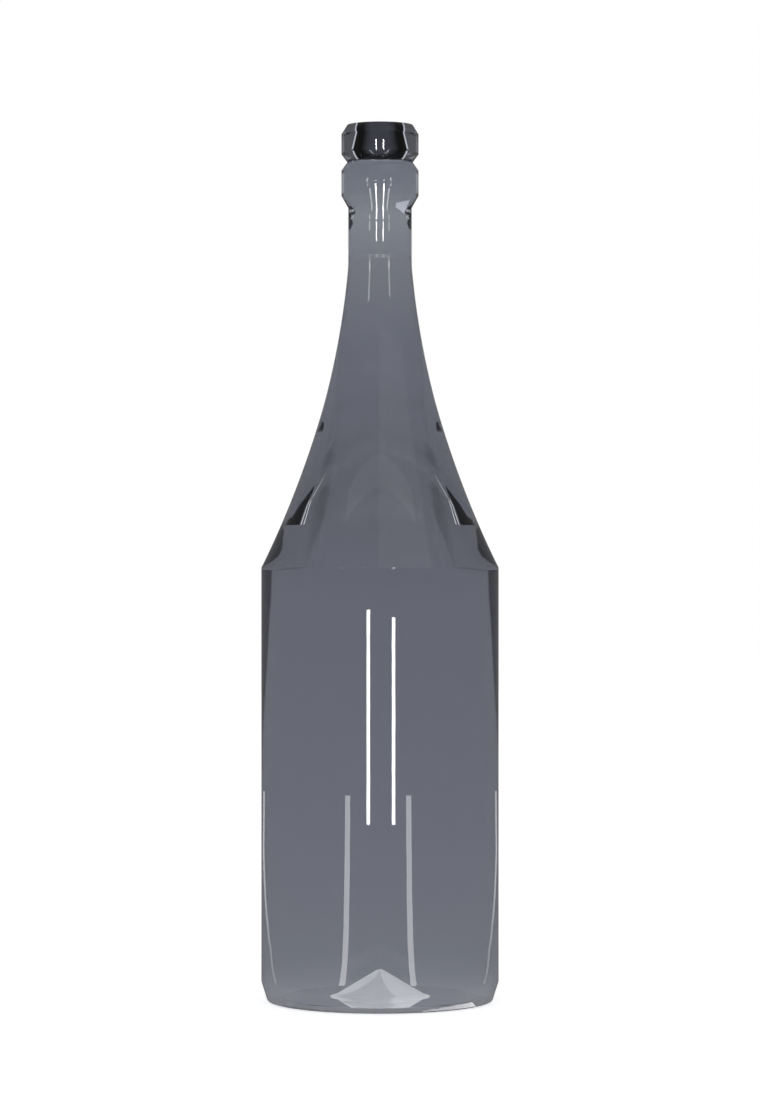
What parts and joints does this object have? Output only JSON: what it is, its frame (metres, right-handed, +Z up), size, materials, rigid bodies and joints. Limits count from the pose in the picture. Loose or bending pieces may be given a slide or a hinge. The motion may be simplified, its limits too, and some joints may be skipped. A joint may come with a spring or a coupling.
{
  "type": "glass bottle",
  "caption": "Tall round smoked-glass bottle with a sloping shoulder, a collared neck, a kicked-up base and a lift-out glass stopper on a soft seal ring.",
  "frame": {"origin": "middle of the foot, on the surface that the bottle stands on", "axes": "+Z up along the axis that all pieces are turned about; X and Y are level and interchangeable"},
  "size_m": [0.088, 0.088, 0.3245],
  "materials": {
    "bottle_glass": "smooth smoked grey glass",
    "stopper_glass": "smooth glass, darker than the bottle",
    "seal": "soft dark polymer, satin"
  },
  "bodies": {
    "bottle": {"bottle": "bottle_glass"},
    "seal_ring": {"seal_ring": "seal"},
    "stopper": {"stopper": "stopper_glass"}
  },
  "joints": [
    {"name": "stopper_lift", "type": "slide", "parent": "bottle", "child": "seal_ring", "axis": [0, 0, 1], "range_m": [0, 0.04]},
    {"name": "stopper_twist", "type": "hinge", "parent": "seal_ring", "child": "stopper", "pos_m": [0, 0, 0.3109], "axis": [0, 0, 1], "continuous": true}
  ]
}
